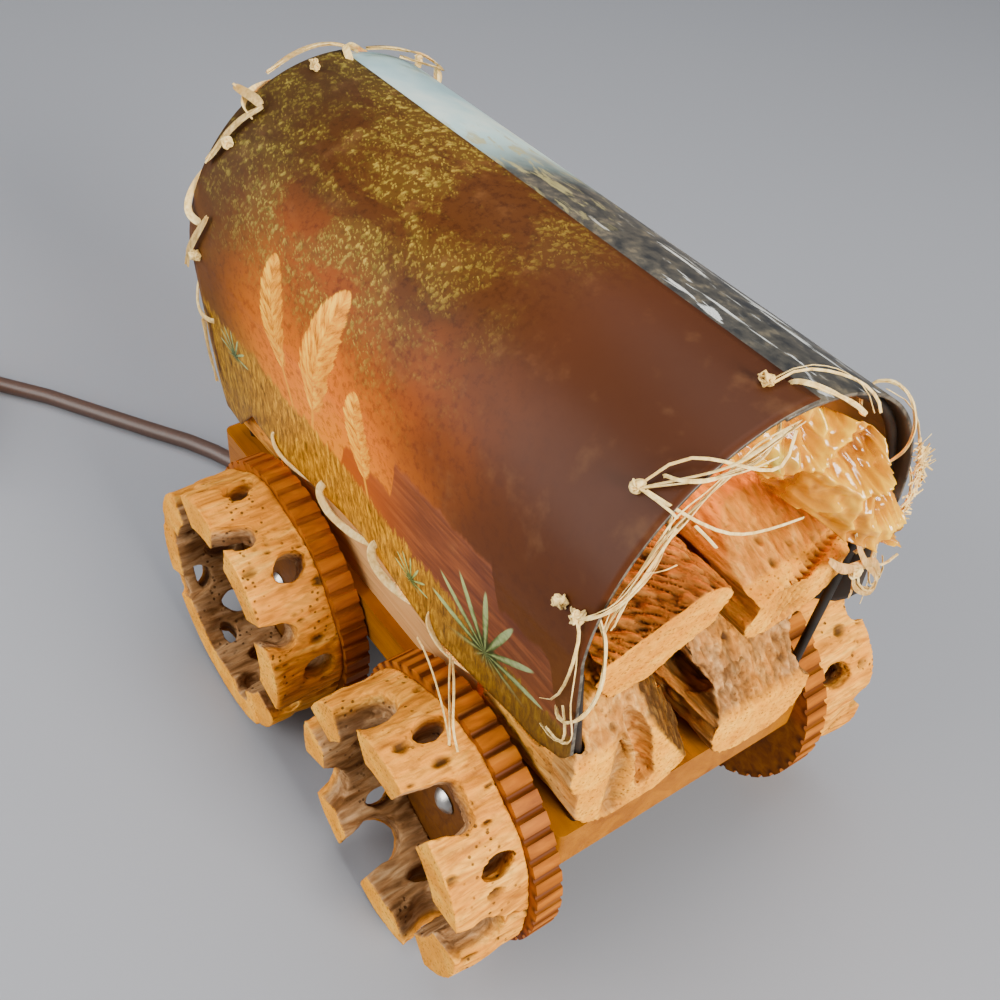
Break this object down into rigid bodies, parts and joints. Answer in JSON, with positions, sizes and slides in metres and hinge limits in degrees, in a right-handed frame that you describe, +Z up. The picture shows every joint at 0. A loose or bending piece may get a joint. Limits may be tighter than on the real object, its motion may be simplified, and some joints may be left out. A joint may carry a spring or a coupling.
{
  "type": "novelty table lamp",
  "caption": "Covered-wagon table lamp: arched picture shade laced with raffia over a plank bed with cactus-wood end logs and nailed-on rolling wheels, lit by a small screw-in bulb.",
  "frame": {"origin": "on the table top, below the middle of the wagon without its cord", "axes": "+X towards the front of the wagon, +Y to its far side, +Z up"},
  "size_m": [0.3602, 0.2662, 0.173],
  "materials": {
    "cactus_wood": "dry, sawn and weathered",
    "disc_wood": "varnished, grooved rim",
    "varnished_plank": "amber varnish",
    "pale_board": "smooth, unvarnished",
    "bright_steel": "bright",
    "shade_print_warm": "satin print on thin sheet",
    "shade_print_sky": "satin print on thin sheet",
    "hoop_wire": "drawn wire",
    "raffia": "dry palm fibre",
    "amber_film": "clear amber film, crumpled",
    "socket_brown": "moulded",
    "brass": "bright",
    "key_black": "moulded",
    "bulb_glass": "frosted, lit",
    "bushing_rubber": "soft",
    "cord_brown": "smooth brown sheath",
    "tie_black": "thin tie"
  },
  "bodies": {
    "wagon": {"base_plank": "varnished_plank", "front_axle_bar": "varnished_plank", "rear_axle_bar": "varnished_plank", "axle_nails": "bright_steel", "bed_nails": "bright_steel", "side_board_near": "pale_board", "side_board_far": "pale_board", "front_log_lower_near": "cactus_wood", "front_log_lower_far": "cactus_wood", "front_log_upper_near": "cactus_wood", "front_log_upper_far": "cactus_wood", "rear_log_near": "cactus_wood", "rear_log_far": "cactus_wood", "shade_near_panel": "shade_print_warm", "shade_far_panel": "shade_print_sky", "front_hoop": "hoop_wire", "rear_hoop": "hoop_wire", "raffia_front_rim": "raffia", "raffia_rear_rim": "raffia", "raffia_near_edge": "raffia", "raffia_far_edge": "raffia", "amber_film": "amber_film", "socket_bracket": "bright_steel", "bracket_screws": "bright_steel", "lamp_socket": "socket_brown", "socket_locknut": "brass", "cord_bushing": "bushing_rubber", "lead_inside": "cord_brown", "cord_free": "cord_brown", "cord_coil": "cord_brown", "coil_tie": "tie_black", "plug_body": "cord_brown", "plug_blades": "brass"},
    "wheel_front_near": {"wheel_slice_front_near": "cactus_wood", "wheel_disc_front_near": "disc_wood"},
    "wheel_front_far": {"wheel_slice_front_far": "cactus_wood", "wheel_disc_front_far": "disc_wood"},
    "wheel_rear_near": {"wheel_slice_rear_near": "cactus_wood", "wheel_disc_rear_near": "disc_wood"},
    "wheel_rear_far": {"wheel_slice_rear_far": "cactus_wood", "wheel_disc_rear_far": "disc_wood"},
    "bulb": {"bulb_base": "brass", "bulb_glass": "bulb_glass"},
    "key": {"switch_key": "key_black"}
  },
  "joints": [
    {"name": "wheel_front_near_spin", "type": "hinge", "parent": "wagon", "child": "wheel_front_near", "pos_m": [0.049, -0.0449, 0.0385], "axis": [0, 1, 0], "continuous": true},
    {"name": "wheel_front_far_spin", "type": "hinge", "parent": "wagon", "child": "wheel_front_far", "pos_m": [0.049, 0.0449, 0.0385], "axis": [0, 1, 0], "continuous": true},
    {"name": "wheel_rear_near_spin", "type": "hinge", "parent": "wagon", "child": "wheel_rear_near", "pos_m": [-0.039, -0.0449, 0.0385], "axis": [0, 1, 0], "continuous": true},
    {"name": "wheel_rear_far_spin", "type": "hinge", "parent": "wagon", "child": "wheel_rear_far", "pos_m": [-0.039, 0.0449, 0.0385], "axis": [0, 1, 0], "continuous": true},
    {"name": "bulb_screw", "type": "hinge", "parent": "wagon", "child": "bulb", "pos_m": [-0.005, 0, 0.1047], "axis": [0, 0, 1], "range_deg": [0, 1080]},
    {"name": "switch_key_turn", "type": "hinge", "parent": "wagon", "child": "key", "pos_m": [-0.016, 0, 0.0826], "axis": [-1, 0, 0], "continuous": true}
  ]
}
